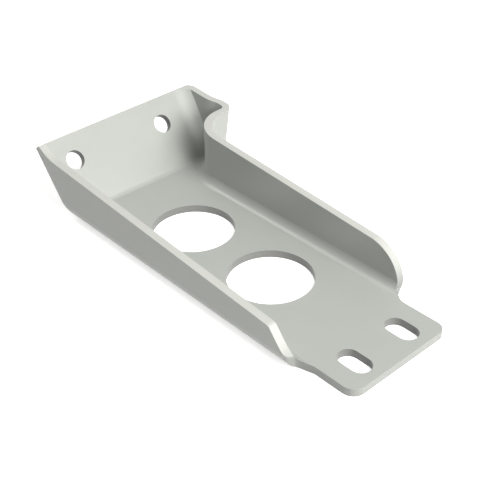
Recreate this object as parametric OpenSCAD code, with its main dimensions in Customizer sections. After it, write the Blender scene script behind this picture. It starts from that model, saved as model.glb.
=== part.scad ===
// Support bracket pressed from one steel sheet.
// The underside of the floor is at Z = 0. The origin is midway between the two large holes.
// X runs along the bracket, from the leaning end wall to the slotted tongue.
// Y runs across it, from the low flange to the tall flange.

/* [Sheet] */
// Thickness of the steel sheet
sheet_t = 2.5; // [2:0.1:3]
// Inside radius where the floor turns up into the flanges and the end wall
bend_r = 3.5; // [2.5:0.25:4.5]

/* [Floor] */
// Width over the outside of the two straight flanges
body_w = 47.8; // [44:0.2:54]
// Distance from the origin to the inner foot of the end wall
foot_x = 48.4; // [46:0.2:56]
// Diameter of the two large holes
hole_d = 26; // [16:0.5:28]
// Distance between the centres of the two large holes
hole_pitch = 34.6; // [30:0.2:38]

/* [Tongue] */
// Distance from the origin to the end of the tongue
tongue_x = 66.6; // [64:0.2:80]
// Width of the tongue
tongue_w = 37.2; // [32:0.2:42]
// Radius of the tongue's corner on the side of the low flange
tongue_near_r = 4; // [1:0.5:6]
// Radius of the tongue's corner on the side of the tall flange
tongue_far_r = 3; // [0.5:0.5:6]
// Width of the two slots
slot_w = 6.4; // [4:0.1:8]
// Length of the two slots, over their round ends
slot_l = 10.4; // [9:0.2:14]
// Distance between the centres of the two slots
slot_pitch = 18.8; // [14:0.2:22]
// Distance from the centres of the slots to the end of the tongue
slot_inset = 8.1; // [7:0.1:11]

/* [Flange tops] */
// Angle at which both top edges fall towards the tongue, in degrees
top_fall = 4.1; // [2:0.2:5]
// Height of the low flange over the origin
low_h = 14.9; // [12:0.1:17]
// Distance from the origin to the crest where the low flange starts to run out
low_crest_x = 41; // [34:0.5:44]
// Radius of that crest
low_crest_r = 4; // [1:0.5:6]
// Angle of the run-out below the horizontal, in degrees
low_slope = 33; // [25:1:45]
// Distance from the origin to the end of the low flange
low_end_x = 50.9; // [48:0.1:54]
// Distance from the origin to the start of the sweep that lifts the low flange to the end wall
sweep_x = 56; // [48:0.5:58]
// Distance from the origin to the end of the tall flange
tall_end_x = 46.9; // [42:0.2:50]
// Radius of the round end of the tall flange
tall_end_r = 12; // [4:0.5:12.5]
// Radius that blends the end of the tall flange into the tongue
tall_blend_r = 5; // [1:0.5:5]

/* [Jog] */
// Distance by which the tall flange stands further out beside the end wall
jog_out = 15.2; // [12:0.5:20]
// Distance from the origin to the outer face of the jog
jog_x = 42.1; // [38:0.1:44]
// Outside radius of the wide bend that leads into the jog
jog_r = 12; // [6:0.5:16]
// Inside radius of the tight corner that leads out of the jog
jog_corner_r = 2.2; // [0.5:0.1:3]
// Distance by which that corner flares out beyond the widened flange
flare_out = 1.2; // [0.4:0.1:2.5]
// Radius of the two curves that make up the flare
flare_r = 12; // [8:0.5:16]

/* [End wall] */
// Lean of the end wall away from the upright, in degrees
wall_lean = 38.7; // [30:0.1:45]
// Length of the end wall's inner face beside the low flange, from its foot to its top edge
wall_len = 24.9; // [22:0.1:30]
// Angle at which the end wall's top edge rises towards the tall flange, in degrees
wall_rise = 0.8; // [0:0.1:2]
// Inside radius at which the end wall curves towards the widened flange
wall_curve_r = 10; // [6:0.5:14]
// Angle through which it curves before the two meet at a crease, in degrees
wall_turn = 40; // [25:1:60]
// Diameter of the two holes in the end wall
wall_hole_d = 6.4; // [4:0.1:9]
// Distance between those two holes
wall_hole_pitch = 35.9; // [30:0.1:40]
// Distance of those two holes from the foot, along the end wall's inner face
wall_hole_up = 16.5; // [12:0.1:18]
// Distance of the middle of those two holes from the centre line, towards the tall flange
wall_hole_shift = 3.6; // [0:0.1:6]

/* [Hidden] */
$fn = 96;
half_w = body_w / 2;
wide_y = half_w + jog_out;
tongue_half = tongue_w / 2;
fall = tan(top_fall);
jog_bend_r = min(jog_r, jog_out - sheet_t - jog_corner_r);
jog_centre = [jog_bend_r - jog_x, half_w + jog_bend_r];
low_blend_r = (half_w - tongue_half) / 2;
wall_turn_y = wide_y - sheet_t - wall_curve_r * sin(wall_turn);
low_top = wall_point(wall_len);
tall_top = wall_point(wall_len + (half_w + wall_turn_y) * tan(wall_rise));
flare_foot_z = sheet_t + 2 * bend_r;
flare_lean = atan(flare_out / (tall_top[1] - flare_foot_z));
wide_foot = wide_y - sheet_t - (flare_foot_z - sheet_t) * tan(flare_lean);
floor_gap = 0.4;
bite = 0.02;
past = 10;
sky = tall_top[1] + past;
above_sky = sky + past;
left_x = tall_top[0] - past;
far_x = tongue_x + past;
form_len = far_x - left_x + sky;

// The pressing is the outer form less the inner form. Both come from the same modules:
// skin is the distance outside the inner faces, so it is sheet_t for the outer form and 0 for the inner.
function inset(skin) = sheet_t - skin;
function up_from(fall) = [sin(fall), cos(fall)];
function wall_point(length) = [-foot_x - length * sin(wall_lean), sheet_t + length * cos(wall_lean)];
function right_x(skin) = skin > 0 ? tongue_x : far_x;

// Lays an outline drawn in X and Z along Y
module along_y(from, to) {
    translate([0, to, 0])
        rotate([90, 0, 0])
            linear_extrude(to - from)
                children();
}

// Lays an outline drawn in Y and Z along X
module along_x(from, to) {
    translate([from, 0, 0])
        rotate([90, 0, 90])
            linear_extrude(to - from)
                children();
}

// Rectangle from one corner to the opposite one
module box(from, to) {
    translate(from)
        square(to - from);
}

// Open trough with a bend at its lower right corner only
module half_trough(from, to, r) {
    difference() {
        box(from, to);
        corner_waste([to[0], from[1]], [1, 0], [0, -1], r);
    }
}

// Floor with a bend up into a side that leans out to the left from its foot
module leaning_side(foot, lean, skin, to) {
    floor_z = inset(skin);
    left = -foot - skin * tan((90 - lean) / 2);
    difference() {
        polygon([[left, floor_z], [to, floor_z], [to, sky], [left - (sky - floor_z) * tan(lean), sky]]);
        corner_waste([left, floor_z], [0, -1], [-cos(lean), -sin(lean)], bend_r + skin);
    }
}

// Low flange, floor and widened flange, in Y and Z
module cross_form(skin) {
    intersection() {
        leaning_side(half_w - sheet_t, 0, skin, wide_y + past);
        mirror([1, 0])
            leaning_side(wide_foot, flare_lean, skin, wide_y + past);
    }
}

// Lays an outline drawn in U and Y along the end wall's lean. U is the distance in front of its inner face.
module along_wall(from, to) {
    translate([-foot_x, 0, sheet_t])
        rotate([0, -wall_lean, 0])
            translate([0, 0, from])
                linear_extrude(to - from)
                    children();
}

// Everything in front of the end wall, which turns towards the widened flange by a wide curve
module before_wall(skin) {
    r = wall_curve_r + skin;
    near = -half_w - past;
    far = wide_y + past;
    along_wall(-form_len, form_len)
        difference() {
            box([-skin, near], [form_len, far]);
            corner_waste([-skin, wall_turn_y + r], [-1, 0], [0, 1], r);
        }
}

// End wall's foot: the bend there stands out a little, so that it meets the wall at a slight angle
module wall_foot(skin) {
    translate([-2 * bite, 0])
        leaning_side(foot_x, wall_lean, skin, past);
}

// Waste above the end wall, whose top edge rises towards the tall flange
module above_end_wall() {
    translate([-foot_x, -half_w, sheet_t])
        rotate([0, -wall_lean, 0])
            translate([-past, 0, wall_len])
                rotate([wall_rise, 0, 0])
                    translate([0, -past, 0])
                        cube([past + wall_len, half_w + wide_y + 2 * past, sky]);
}

// Bend that carries the floor and the tall flange round the wide curve of the jog
module jog_bend(skin) {
    edge = jog_bend_r + inset(skin);
    translate([jog_centre[0], jog_centre[1], 0])
        rotate([0, 0, 180])
            rotate_extrude(angle = 90)
                difference() {
                    box([edge, inset(skin)], [jog_centre[1], sky]);
                    corner_waste([edge, inset(skin)], [-1, 0], [0, -1], bend_r + skin);
                }
}

// Outline of the widened end seen from above, with the flare and the tight corner of the jog.
// Each curve bites a little into the one before it, so that they meet at a slight angle.
module widened_outline(skin) {
    far = wide_y - inset(skin);
    crown = far + flare_out;
    r = jog_corner_r + skin;
    to = bite - jog_x - sheet_t - jog_corner_r;
    from = to - sqrt(flare_out * (4 * flare_r - flare_out));
    outer_centre = [from, wide_y + flare_r];
    inner_centre = [to, wide_y + flare_out - flare_r];
    middle = outer_centre + (flare_r + inset(skin)) / (2 * flare_r) * (inner_centre - outer_centre);
    box([left_x, 0], [to, far]);
    difference() {
        box([from, 0], middle);
        translate(outer_centre - [0, bite])
            circle(flare_r + inset(skin));
    }
    intersection() {
        box([(from + middle[0]) / 2, 0], [to, crown + bite]);
        translate(inner_centre)
            circle(flare_r - inset(skin));
    }
    box([middle[0], 0], [to + r, crown - r]);
    translate([to, crown - r + bite])
        circle(r);
}

// Widened end beyond the wide curve
module widened_end(skin) {
    face_x = -jog_x - inset(skin);
    intersection() {
        along_y(0, wide_y + past)
            intersection() {
                half_trough([left_x, inset(skin)], [face_x, sky], bend_r + skin);
                wall_foot(skin);
            }
        linear_extrude(sky)
            widened_outline(skin);
    }
}

// Everything between the flanges, with the jog in its far side
module channel_form(skin) {
    far = half_w - inset(skin);
    r = bend_r + skin;
    floor_z = inset(skin);
    along_x(jog_centre[0], right_x(skin))
        half_trough([-wide_y, floor_z], [far, sky], r);
    along_y(-wide_y, far - r)
        intersection() {
            box([left_x, floor_z], [past, sky]);
            wall_foot(skin);
        }
    intersection() {
        jog_bend(skin);
        along_y(0, wide_y + past)
            wall_foot(skin);
    }
    widened_end(skin);
}

// Outer or inner form of the whole pressing, before its edges are trimmed
module pressed_form(skin) {
    intersection() {
        channel_form(skin);
        before_wall(skin);
        along_x(left_x, right_x(skin))
            cross_form(skin);
    }
}

// What is left over outside a rounded corner, whose two edges face along the directions a and b.
// The round bites a little into both edges, so that it meets each of them at a slight angle.
module corner_waste(corner, a, b, r) {
    out = (a + b) / (1 + a * b);
    centre = corner - (r - bite) * out;
    reach = r + 1;
    difference() {
        polygon([centre, centre + reach * a, centre + reach * out, centre + reach * b]);
        translate(centre)
            circle(r);
    }
}

// Waste above the low flange, in X and Z: over the sweep, the falling edge, the crest and the run-out
module above_low_flange() {
    start = [-sweep_x, low_h + sweep_x * fall];
    crest = [low_crest_x, low_h - low_crest_x * fall];
    end_z = sheet_t + floor_gap;
    end_x = low_crest_x + (crest[1] - end_z) / tan(low_slope);
    run = start[0] - low_top[0];
    rise = low_top[1] - start[1];
    along = run * cos(top_fall) + rise * sin(top_fall);
    lift = rise * cos(top_fall) - run * sin(top_fall);
    sweep_r = (along * along + lift * lift) / (2 * lift);
    polygon([
        start,
        crest,
        [end_x, end_z],
        [far_x, end_z],
        [far_x, above_sky],
        [start[0], above_sky],
    ]);
    corner_waste(crest, up_from(top_fall), up_from(low_slope), low_crest_r);
    intersection() {
        box([low_top[0], start[1]], [start[0], above_sky]);
        translate(start + sweep_r * [sin(top_fall), cos(top_fall)])
            circle(sweep_r);
    }
}

// Waste above the tall flange, in X and Z: its edge falls from the end wall's top to its round end
module above_tall_flange() {
    crest = [tall_end_x, tall_top[1] - (tall_end_x - tall_top[0]) * fall];
    from = [left_x, tall_top[1] + past * fall];
    turn = tan((90 - top_fall) / 2);
    end_r = min(tall_end_r, (crest[1] - sheet_t - floor_gap) / turn);
    end_z = crest[1] - end_r * turn;
    polygon([
        from,
        crest,
        [tall_end_x, end_z],
        [far_x, end_z],
        [far_x, above_sky],
        [left_x, above_sky],
    ]);
    corner_waste(crest, up_from(top_fall), [1, 0], end_r);
}

// Waste beside the tongue, seen from above: both flanges end here and blend into its edges
module beside_tongue() {
    near_start = [low_end_x, -tongue_half];
    far_start = [tall_end_x, tongue_half];
    difference() {
        box([low_end_x, -half_w - past], [far_x, -tongue_half]);
        corner_waste(near_start, [-1, 0], [0, 1], low_blend_r);
    }
    corner_waste([low_end_x, -half_w], [1, 0], [0, -1], low_blend_r);
    corner_waste([tongue_x, -tongue_half], [1, 0], [0, -1], tongue_near_r);
    difference() {
        box(far_start, [far_x, half_w + past]);
        corner_waste(far_start, [-1, 0], [0, -1], tall_blend_r);
    }
    corner_waste([tongue_x, tongue_half], [1, 0], [0, 1], tongue_far_r);
}

// Two slots in the tongue, along X
module slots() {
    straight = slot_l - slot_w;
    for (side = [-1, 1])
        translate([tongue_x - slot_inset, side * slot_pitch / 2]) {
            square([straight, slot_w], center = true);
            for (end = [-1, 1])
                translate([end * straight / 2, 0])
                    circle(d = slot_w);
        }
}

// Two bores square to the end wall
module wall_bores() {
    translate([-foot_x, wall_hole_shift, sheet_t])
        rotate([0, -wall_lean, 0])
            for (side = [-1, 1])
                translate([0, side * wall_hole_pitch / 2, wall_hole_up])
                    rotate([0, 90, 0])
                        cylinder(h = 4 * sheet_t, d = wall_hole_d, center = true);
}

// The steel sheet once it is bent up, with its edges still untrimmed
module pressing() {
    difference() {
        pressed_form(sheet_t);
        pressed_form(0);
    }
}

module bracket() {
    bend_w = sheet_t + bend_r;
    color("#c3c6c1")
        difference() {
            pressing();
            above_end_wall();
            along_y(-half_w - past, bend_w - half_w)
                above_low_flange();
            along_y(half_w - bend_w, wide_y + past)
                above_tall_flange();
            translate([0, 0, -past])
                linear_extrude(sky + 2 * past)
                    beside_tongue();
            translate([0, 0, -past])
                linear_extrude(sheet_t + 2 * past)
                    slots();
            for (side = [-1, 1])
                translate([side * hole_pitch / 2, 0, -past])
                    cylinder(h = sheet_t + 2 * past, d = hole_d);
            wall_bores();
        }
}

bracket();
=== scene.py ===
import math

import bmesh
import bpy
import numpy as np
from mathutils import Matrix, Vector


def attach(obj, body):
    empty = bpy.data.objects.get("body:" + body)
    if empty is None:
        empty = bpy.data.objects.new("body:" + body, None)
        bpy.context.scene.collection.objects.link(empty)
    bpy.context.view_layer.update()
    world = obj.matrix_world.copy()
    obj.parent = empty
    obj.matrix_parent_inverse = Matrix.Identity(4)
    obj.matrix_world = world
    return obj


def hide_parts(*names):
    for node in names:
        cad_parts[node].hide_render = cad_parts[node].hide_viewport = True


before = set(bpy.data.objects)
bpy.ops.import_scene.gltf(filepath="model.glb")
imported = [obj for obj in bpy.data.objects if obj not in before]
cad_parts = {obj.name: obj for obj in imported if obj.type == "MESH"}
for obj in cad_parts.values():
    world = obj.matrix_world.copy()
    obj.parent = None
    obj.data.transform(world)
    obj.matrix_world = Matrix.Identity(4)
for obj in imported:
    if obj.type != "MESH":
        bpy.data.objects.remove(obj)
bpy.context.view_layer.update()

print("frame loaded")

# Camera. Its place, turn and lens come from a perspective fit to the photograph.
cameraView = {
    "target": (-0.00513, 0.00842, 0.0),  # the point looked at
    "azimuth": 48.075,  # degrees round from the -Y side towards +X
    "elevation": 34.775,  # degrees above the floor
    "roll": -0.848,  # degrees
    "distance": 0.29917,
    "focalPixels": 962.28,  # focal length in pixels of a frame 480 wide
    "frameWidth": 480,
    "sensorWidth": 36.0,
    "clip": (0.01, 20.0),  # nearest and farthest distance that is seen
}


def makeCamera(view):
    # With azimuth a and elevation e the camera stands back from its target by distance along
    # back = (sin a cos e, -cos a cos e, sin e), and is rolled about that line.
    a, e, r = (math.radians(view[k]) for k in ("azimuth", "elevation", "roll"))
    back = Vector((math.sin(a) * math.cos(e), -math.cos(a) * math.cos(e), math.sin(e)))
    right = Vector((math.cos(a), math.sin(a), 0.0))
    up = back.cross(right)
    rolledRight = math.cos(r) * right + math.sin(r) * up
    rolledUp = math.cos(r) * up - math.sin(r) * right
    data = bpy.data.cameras.new("photoCamera")
    data.sensor_width = view["sensorWidth"]
    data.lens = view["focalPixels"] / view["frameWidth"] * view["sensorWidth"]
    data.clip_start, data.clip_end = view["clip"]
    camera = bpy.data.objects.new("photoCamera", data)
    turn = Matrix((rolledRight, rolledUp, back)).transposed().to_4x4()
    place = Vector(view["target"]) + view["distance"] * back
    camera.matrix_world = Matrix.Translation(place) @ turn
    bpy.context.scene.collection.objects.link(camera)
    bpy.context.scene.camera = camera


makeCamera(cameraView)
print("camera made")

# Stage and light
stageLook = {
    "floorSize": 1.3,
    "floorColour": (0.86, 0.86, 0.86, 1.0),
    "floorLift": 0.66,  # added where the floor is seen, so that the lit floor reads as white
    "roomColour": (0.95, 1.0, 0.98, 1.0),
    "roomLight": 0.05,
}
softLamps = {
    # place, size and watts of each round lamp, all turned towards the bracket
    "sideLamp": ((0.60, -0.02, 0.28), 0.40, 4.6),
    "highLamp": ((0.45, 0.02, 0.75), 0.50, 3.2),
    "farLamp": ((0.55, 0.40, 0.45), 0.50, 0.9),
    "backLamp": ((-0.62, -0.13, 0.77), 0.32, 2.8),
}
lampColour = (1.0, 0.985, 0.96)


def seenDirectly(nodes, links):
    # 1 for rays from the camera and for those off a glossy or through a clear surface, otherwise 0.
    path = nodes.new("ShaderNodeLightPath")
    seen = path.outputs["Is Camera Ray"]
    for name in ("Is Glossy Ray", "Is Transmission Ray"):
        larger = nodes.new("ShaderNodeMath")
        larger.operation = "MAXIMUM"
        links.new(seen, larger.inputs[0])
        links.new(path.outputs[name], larger.inputs[1])
        seen = larger.outputs[0]
    return seen


def makeFloorMaterial(look):
    material = bpy.data.materials.new("paleFloor")
    material.use_nodes = True
    nodes, links = material.node_tree.nodes, material.node_tree.links
    nodes.clear()
    diffuse = nodes.new("ShaderNodeBsdfDiffuse")
    diffuse.inputs["Color"].default_value = look["floorColour"]
    lift = nodes.new("ShaderNodeEmission")
    lift.inputs["Strength"].default_value = look["floorLift"]
    both = nodes.new("ShaderNodeAddShader")
    links.new(diffuse.outputs[0], both.inputs[0])
    links.new(lift.outputs[0], both.inputs[1])
    pick = nodes.new("ShaderNodeMixShader")
    links.new(seenDirectly(nodes, links), pick.inputs[0])
    links.new(diffuse.outputs[0], pick.inputs[1])
    links.new(both.outputs[0], pick.inputs[2])
    output = nodes.new("ShaderNodeOutputMaterial")
    links.new(pick.outputs[0], output.inputs["Surface"])
    return material


def makeRoom(look):
    # The camera and reflections see a white room, and everything is lit by a dimmer one.
    world = bpy.data.worlds.new("paleRoom")
    world.use_nodes = True
    nodes, links = world.node_tree.nodes, world.node_tree.links
    dim = nodes["Background"]
    dim.inputs["Color"].default_value = look["roomColour"]
    dim.inputs["Strength"].default_value = look["roomLight"]
    white = nodes.new("ShaderNodeBackground")
    white.inputs["Color"].default_value = (1.0, 1.0, 1.0, 1.0)
    white.inputs["Strength"].default_value = 1.0  # seen as white
    pick = nodes.new("ShaderNodeMixShader")
    links.new(seenDirectly(nodes, links), pick.inputs[0])
    links.new(dim.outputs[0], pick.inputs[1])
    links.new(white.outputs[0], pick.inputs[2])
    links.new(pick.outputs[0], nodes["World Output"].inputs["Surface"])
    bpy.context.scene.world = world


def makeStage(look):
    half = look["floorSize"] / 2
    mesh = bpy.data.meshes.new("floor")
    corners = [(-half, -half, 0), (half, -half, 0), (half, half, 0), (-half, half, 0)]
    mesh.from_pydata(corners, [], [(0, 1, 2, 3)])
    floor = bpy.data.objects.new("floor", mesh)
    bpy.context.scene.collection.objects.link(floor)
    mesh.materials.append(makeFloorMaterial(look))
    makeRoom(look)


def makeLamps(lamps):
    for name, (place, size, watts) in lamps.items():
        data = bpy.data.lights.new(name, "AREA")
        data.shape = "DISK"
        data.size = size
        data.energy = watts
        data.color = lampColour
        lamp = bpy.data.objects.new(name, data)
        lamp.location = place
        lamp.rotation_euler = Vector(place).to_track_quat("Z", "Y").to_euler()
        bpy.context.scene.collection.objects.link(lamp)


makeStage(stageLook)
makeLamps(softLamps)
bpy.context.scene.view_settings.view_transform = "Standard"
print("stage and lamps made")

# Paint
paintLook = {
    "colour": (0.41, 0.428, 0.405, 1.0),
    "paleColour": (0.437, 0.455, 0.432, 1.0),
    # Dark colour of the cut rims. It is partly their bare cut colour and partly painted shade in the holes
    # and along the tongue, and painted shade at the feet of the flange ends.
    "cutRimAndShadeColour": (0.15, 0.152, 0.148, 1.0),  # where cutRimAndShade is 1
    # Paler colour painted as a highlight on the top rims, where they face upwards.
    "rimHighlightColour": (0.58, 0.59, 0.56, 1.0),  # where rimHighlight is 1
    "refraction": 1.5,
    "roughness": (0.34, 0.42),
    "cloudScale": 120.0,  # clouds of paler paint, per metre
    "cloudDetail": 4.0,
    "waveScale": 70.0,  # slow waves of pressed sheet, per metre
    "waveDetail": 1.0,
    "waveHeight": 0.00010,
    "grainScale": 2600.0,  # paint grain, per metre
    "grainDetail": 2.0,
    "grainHeight": 0.000012,
}


def addNoise(nodes, links, place, scale, detail):
    noise = nodes.new("ShaderNodeTexNoise")
    noise.inputs["Scale"].default_value = scale
    noise.inputs["Detail"].default_value = detail
    links.new(place, noise.inputs["Vector"])
    return noise.outputs["Fac"]


def addBump(nodes, links, height, distance):
    bump = nodes.new("ShaderNodeBump")
    bump.inputs["Distance"].default_value = distance
    links.new(height, bump.inputs["Height"])
    return bump


def makePaint(look):
    # Cloudy paint, mixed by the two face attributes with the dark rim colour, which is partly painted
    # shade, and with a painted highlight on the top rims, with grain on slow waves.
    material = bpy.data.materials.new("satinPaint")
    material.use_nodes = True
    nodes, links = material.node_tree.nodes, material.node_tree.links
    shader = nodes["Principled BSDF"]
    shader.inputs["IOR"].default_value = look["refraction"]
    place = nodes.new("ShaderNodeTexCoord").outputs["Object"]

    cloud = addNoise(nodes, links, place, look["cloudScale"], look["cloudDetail"])
    tint = nodes.new("ShaderNodeMix")
    tint.data_type = "RGBA"
    tint.inputs["A"].default_value = look["colour"]
    tint.inputs["B"].default_value = look["paleColour"]
    links.new(cloud, tint.inputs["Factor"])
    painted = tint.outputs["Result"]
    # First the dark rim colour, partly painted shade, then the paler colour painted as a highlight on the
    # top rims.
    for name, colour in (("cutRimAndShade", look["cutRimAndShadeColour"]), ("rimHighlight", look["rimHighlightColour"])):
        mark = nodes.new("ShaderNodeAttribute")
        mark.attribute_name = name
        rim = nodes.new("ShaderNodeMix")
        rim.data_type = "RGBA"
        links.new(mark.outputs["Fac"], rim.inputs["Factor"])
        links.new(painted, rim.inputs["A"])
        rim.inputs["B"].default_value = colour
        painted = rim.outputs["Result"]
    links.new(painted, shader.inputs["Base Color"])

    sheen = nodes.new("ShaderNodeMapRange")
    sheen.inputs["To Min"].default_value, sheen.inputs["To Max"].default_value = look["roughness"]
    links.new(cloud, sheen.inputs["Value"])
    links.new(sheen.outputs["Result"], shader.inputs["Roughness"])

    wave = addNoise(nodes, links, place, look["waveScale"], look["waveDetail"])
    waveBump = addBump(nodes, links, wave, look["waveHeight"])
    grain = addNoise(nodes, links, place, look["grainScale"], look["grainDetail"])
    grainBump = addBump(nodes, links, grain, look["grainHeight"])
    links.new(waveBump.outputs["Normal"], grainBump.inputs["Normal"])
    links.new(grainBump.outputs["Normal"], shader.inputs["Normal"])
    return material


# Pressed sheet with rounded edges. It is worked out in millimetres.
toMetres = 0.001
sheetForm = {
    "mergeWithin": 1e-3,
    "cutWithin": 1e-4,  # points nearer to a cut than this lie on it
    "flatAngle": 0.4,  # faces that turn by less than this are joined
    "sharpAngle": 32.0,  # edges that turn by more than this are rounded
    "edgeRound": 0.6,
    "edgeSteps": 3,
    "edgeProfile": 0.5,  # a round profile
    "cornerSpread": 0.2,
    "bentBeyond": 17.0,  # faces that reach further than this from the middle are bent afterwards
    "evenShade": 50,  # weight of large faces in the shading
}
sheetCuts = (
    # axis, first place, last place and step of parallel cuts, then two corners of the box they belong to
    (0, 41.0, 57.0, 0.6, (38, -25, -1), (58, -15, 15)),
    (1, -24.0, -18.4, 0.6, (38, -25, -1), (58, -15, 15)),
    (2, 2.6, 12.2, 0.6, (38, -25, 2.4), (58, -20, 15)),
    (1, 24.2, 40.0, 1.6, (-68, 24, -1), (-30, 42, 24)),
    (2, 1.0, 22.0, 1.5, (-68, 24, -1), (-30, 42, 24)),
)
runOutForm = {
    "start": 41.5,  # where the run-out of the low flange begins to draw in
    "end": 50.9,
    "last": 58.0,  # nothing beyond this X draws in
    "drawIn": 2.8,  # how far its end draws back along X
    "inner": 18.6,  # nothing nearer to the middle than this draws in
    "blend": 2.4,  # from there to where all of drawIn holds
    "places": (41.5, 43.5, 46.0, 48.0, 50.0, 53.0),
    "sink": (0.0, 0.09, 0.28, 0.32, 0.50, 0.60),  # share of the height lost at those places
    "sinkBeyond": 15.0,  # the low flange is further from the middle than this
    "floorTop": 2.5,
}
jogForm = {
    "side": 24.2,  # outer side of the tall flange
    "reach": 16.0,  # from there to the outer side of the widened part
    "top": 21.0,
    "foot": 8.0,
    "leanIn": 2.2,  # how far the foot of the widened part stands in from its top
}


def cutAcross(work, cuts, within):
    # Parallel cuts through the faces that reach into a box, so that these can take a curve.
    for axis, first, last, step, low, high in cuts:
        faces = []
        for face in work.faces:
            spans = zip(low, high, *(v.co for v in face.verts))
            if all(max(span[2:]) > span[0] and min(span[2:]) < span[1] for span in spans):
                faces.append(face)
        edges, corners = {e for f in faces for e in f.edges}, {v for f in faces for v in f.verts}
        geometry = faces + list(edges) + list(corners)
        normal = Vector([1.0 if i == axis else 0.0 for i in range(3)])
        for place in np.arange(first, last, step):
            cut = bmesh.ops.bisect_plane(
                work, geom=geometry, dist=within, plane_co=normal * float(place), plane_no=normal
            )
            geometry = cut["geom"]


def drawInRunOut(places, form):
    # Along X each point goes back by drawIn * t(x) * m(y), where t runs from 0 to 1 between start and end,
    # and m eases from 0 to 1 over the width of blend, outwards from inner. Above the floor each point
    # sinks by k(x) * h * h / (h + 1), with h its height over the floor and k its share from sink.
    x, y, z = places.T
    t = np.clip((x - form["start"]) / (form["end"] - form["start"]), 0, 1) * (x < form["last"])
    m = np.clip((-y - form["inner"]) / form["blend"], 0, 1)
    m = m * m * (3 - 2 * m)
    moved = x - form["drawIn"] * t * m
    h = np.clip(z - form["floorTop"], 0, None) * (y < -form["sinkBeyond"])
    k = np.interp(moved, form["places"], form["sink"], left=0.0)
    return np.stack([moved, y, z - k * h * h / (h + 1)], axis=1)


def leanInJog(places, form):
    # In the half with the end wall, each point beyond the tall flange goes in by
    # leanIn * s(z) * (y - side) / reach, where s runs from 0 at the top to 1 at the foot and below.
    x, y, z = places.T
    s = np.clip((form["top"] - z) / (form["top"] - form["foot"]), 0, 1)
    share = np.clip((y - form["side"]) / form["reach"], 0, 1) * (x < 0)
    return np.stack([x, y - form["leanIn"] * s * share, z], axis=1)


rimForm = {
    # Regions in millimetres, and shares of the dark rim colour, partly painted shade, or of the colour
    # painted as a highlight on the top rims
    "upright": 0.8,  # a face whose normal rises less than this is a cut edge
    "floorHoles": (-40.0, 64.0, 14.0, 2.6),  # first and last X, half width and top of their region
    "holeShade": 0.85,
    "tongueStart": 51.0,
    "tongueShade": 0.45,
    "flangeEnds": (20.0, 18.0, 10.0, 6.0),  # first X, nearest to the middle, top and depth of the shade
    "endFacing": 0.3,  # least share of the normal along X
    "footShade": 0.6,
    "wallHoles": ((-58.717, 21.55, 15.377), (-58.717, -14.35, 15.377)),
    "wallAxis": (0.78043, 0.0, 0.62524),  # square to the end wall
    "wallReach": (3.45, 4.0),  # from the axis of a wall hole and along it
    "paleFrom": 3.0,  # height where the top rims start to be paler
    "paleOver": 3.0,
    "flangeRims": (-44.0, 19.0, 0.6),  # first X, nearest to the middle, most of the normal along Y
    "wallRims": (-20.5, 24.5, 0.75),  # the two sides of the end wall, least of the normal along Z
}


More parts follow.
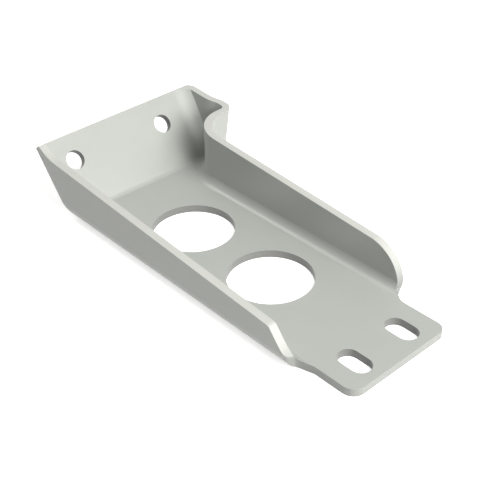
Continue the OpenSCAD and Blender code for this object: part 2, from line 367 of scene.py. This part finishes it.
def markRims(mesh, form):
    # Two numbers for each face. The first is the share of the dark rim colour: on cut edges, partly their
    # bare colour and partly painted shade,
    # # and at the feet of the flange ends, where it is painted shade. The second is the share of a paler
    # colour painted as a highlight on the top rims.
    count = len(mesh.polygons)
    centres, normals = np.empty(count * 3), np.empty(count * 3)
    mesh.polygons.foreach_get("center", centres)
    mesh.polygons.foreach_get("normal", normals)
    centres, normals = centres.reshape(-1, 3), normals.reshape(-1, 3)
    x, y, z = centres.T
    forward, sideways, upward = normals.T

    first, last, halfWidth, top = form["floorHoles"]
    # Cut edges in the floor holes, the slots and along the tongue take the dark rim colour: partly their
    # bare cut colour, partly painted shade.
    cut = (abs(upward) < form["upright"]) & (z < top)
    inFloor = (abs(y) < halfWidth) & (x > first) & (x < last)
    dark = form["holeShade"] * (inFloor & cut)
    dark = np.where((x > form["tongueStart"]) & ~inFloor & cut, form["tongueShade"], dark)
    # Painted shade darkening the ends of the flanges towards their feet.
    start, nearest, height, depth = form["flangeEnds"]
    onEnd = (x > start) & (abs(y) > nearest) & (forward > form["endFacing"])
    dark = np.maximum(dark, form["footShade"] * np.clip((height - z) / depth, 0, 1) * onEnd)
    # Painted shade in the wall holes: their rims take all of the dark rim colour.
    axis = np.array(form["wallAxis"])
    radius, reach = form["wallReach"]
    for hole in form["wallHoles"]:
        away = centres - np.array(hole)
        along = away @ axis
        inHole = (np.linalg.norm(away - along[:, None] * axis, axis=1) < radius) & (abs(along) < reach)
        dark = np.where(inHole & (abs(normals @ axis) < form["upright"]), 1.0, dark)

    # Painted highlight: the top rims of the flanges and of the end wall's sides are made paler the more
    # they face upwards, from a little above the floor.
    wallEnd, nearest, mostSideways = form["flangeRims"]
    onFlange = (x > wallEnd) & (abs(sideways) < mostSideways) & (abs(y) > nearest)
    near, far, leastUpward = form["wallRims"]
    byWall = (x <= wallEnd) & (upward > leastUpward) & ((y > far) | (y < near))
    pale = np.clip((z - form["paleFrom"]) / form["paleOver"], 0, 1) * np.clip(upward, 0, 1) ** 2
    pale *= (onFlange | byWall) * (1 - dark)
    for name, values in (("cutRimAndShade", dark), ("rimHighlight", pale)):
        mesh.attributes.new(name, "FLOAT", "FACE").data.foreach_set("value", values.astype(np.float32))


def makeSheet(form, node):
    # A copy of the node with its corners merged, its flat faces joined and its edges rounded.
    work = bmesh.new()
    work.from_mesh(node.data)
    bmesh.ops.scale(work, vec=(1 / toMetres,) * 3, verts=work.verts)
    bmesh.ops.remove_doubles(work, verts=work.verts, dist=form["mergeWithin"])
    flat, sharp = math.radians(form["flatAngle"]), math.radians(form["sharpAngle"])
    bmesh.ops.dissolve_limit(
        work, angle_limit=flat, verts=work.verts, edges=work.edges, delimit=set()
    )
    bmesh.ops.bevel(
        work,
        geom=[e for e in work.edges if e.is_manifold and e.calc_face_angle() > sharp],
        offset=form["edgeRound"],
        offset_type="OFFSET",
        segments=form["edgeSteps"],
        profile=form["edgeProfile"],
        affect="EDGES",
        clamp_overlap=True,
        miter_outer="ARC",
        spread=form["cornerSpread"],
        material=-1,
    )
    cutAcross(work, sheetCuts, form["cutWithin"])
    outer = [f for f in work.faces if max(abs(v.co.y) for v in f.verts) > form["bentBeyond"]]
    bmesh.ops.triangulate(work, faces=[f for f in outer if len(f.verts) > 3])
    mesh = bpy.data.meshes.new("pressedSheet")
    work.to_mesh(mesh)
    work.free()

    # Face attributes holding the painted shade on the rims and the painted highlight on the top rims.
    markRims(mesh, rimForm)
    places = np.empty(len(mesh.vertices) * 3)
    mesh.vertices.foreach_get("co", places)
    places = leanInJog(drawInRunOut(places.reshape(-1, 3), runOutForm), jogForm)
    mesh.vertices.foreach_set("co", places.ravel() * toMetres)
    mesh.update()
    mesh.shade_smooth()
    print("sheet", len(mesh.vertices), "points", len(mesh.polygons), "faces")
    sheet = bpy.data.objects.new("pressedSheet", mesh)
    bpy.context.scene.collection.objects.link(sheet)
    normals = sheet.modifiers.new("evenShade", "WEIGHTED_NORMAL")
    normals.weight = form["evenShade"]
    normals.keep_sharp = False
    return sheet


sheet = makeSheet(sheetForm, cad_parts["bracket"])
sheet.data.materials.clear()
sheet.data.materials.append(makePaint(paintLook))
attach(sheet, "root")
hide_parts("bracket")
print("pressed sheet made")
